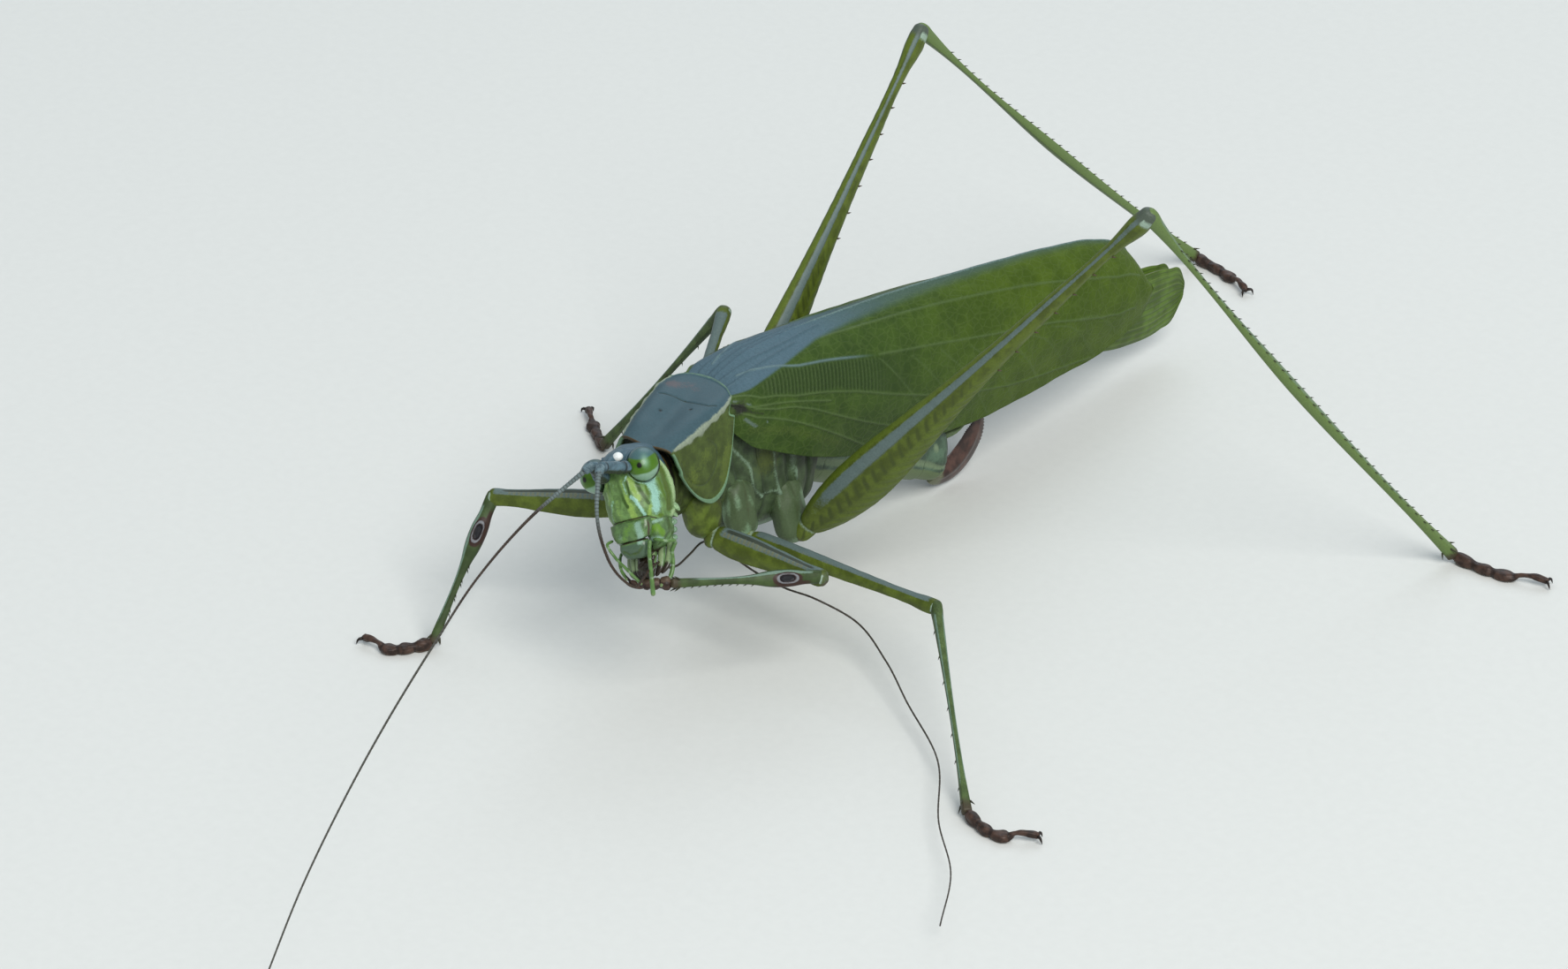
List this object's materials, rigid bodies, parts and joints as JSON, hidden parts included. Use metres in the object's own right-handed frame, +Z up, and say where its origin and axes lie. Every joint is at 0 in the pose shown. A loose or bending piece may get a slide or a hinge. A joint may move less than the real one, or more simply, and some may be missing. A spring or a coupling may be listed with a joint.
{
  "type": "katydid model",
  "caption": "Life-size still model of a green long-horned grasshopper, standing with folded wings and cleaning one long antenna with a raised fore leg.",
  "frame": {"origin": "middle of the insect's plan, feelers included, on the floor its feet stand on", "axes": "+Z up, +X to the insect's left, -Y the way the insect faces"},
  "size_m": [0.044, 0.091, 0.0219],
  "materials": {
    "face_green": "pale green cuticle, satin, with darker mottles",
    "eye_green": "glossy faceted eye, green with a pale upper part and one dark false pupil",
    "palp_green": "smooth pale green cuticle, satin",
    "glaucous_back": "blue-grey cuticle with a waxy bloom, matt, cream edges",
    "thorax_green": "grey-green cuticle, satin",
    "abdomen_green": "grey-green soft cuticle, satin",
    "fore_wing_green": "leathery dark green wing with raised veins, satin",
    "hind_wing_green": "thin bright green wing tip, satin",
    "femur_green": "olive green cuticle with a pale stripe along the top, satin",
    "tibia_green": "dark green cuticle with small spines, satin",
    "foot_brown": "reddish brown cuticle, satin",
    "horn_brown": "dark reddish brown blade with a toothed rim, satin",
    "antenna_brown": "dark brown ringed thread, satin"
  },
  "bodies": {
    "root": {"abdomen": "abdomen_green", "antenna_left_base": "antenna_brown", "antenna_left_bend": "antenna_brown", "antenna_left_middle": "antenna_brown", "antenna_left_outer": "antenna_brown", "antenna_left_tip": "antenna_brown", "antenna_right_base": "antenna_brown", "antenna_right_middle": "antenna_brown", "antenna_right_tip": "antenna_brown", "clypeus_labrum": "face_green", "eye_left": "eye_green", "eye_right": "eye_green", "fore_left_coxa": "thorax_green", "fore_left_femur": "femur_green", "fore_left_tarsus": "foot_brown", "fore_left_tibia": "tibia_green", "fore_right_coxa": "thorax_green", "fore_right_femur": "femur_green", "fore_right_tarsus": "foot_brown", "fore_right_tibia": "tibia_green", "head": "face_green", "hind_left_coxa": "thorax_green", "hind_left_femur": "femur_green", "hind_left_tarsus": "foot_brown", "hind_left_tibia": "tibia_green", "hind_right_coxa": "thorax_green", "hind_right_femur": "femur_green", "hind_right_tarsus": "foot_brown", "hind_right_tibia": "tibia_green", "hindwing_left": "hind_wing_green", "hindwing_right": "hind_wing_green", "labial_palp_left": "palp_green", "labial_palp_right": "palp_green", "mandible_left": "face_green", "mandible_right": "face_green", "maxillary_palp_left": "palp_green", "maxillary_palp_right": "palp_green", "mid_left_coxa": "thorax_green", "mid_left_femur": "femur_green", "mid_left_tarsus": "foot_brown", "mid_left_tibia": "tibia_green", "mid_right_coxa": "thorax_green", "mid_right_femur": "femur_green", "mid_right_tarsus": "foot_brown", "mid_right_tibia": "tibia_green", "ovipositor": "horn_brown", "pronotum": "glaucous_back", "prothorax": "thorax_green", "scape_left": "glaucous_back", "scape_right": "glaucous_back", "tegmen_left": "fore_wing_green", "tegmen_right": "fore_wing_green", "thorax": "thorax_green"}
  },
  "joints": []
}
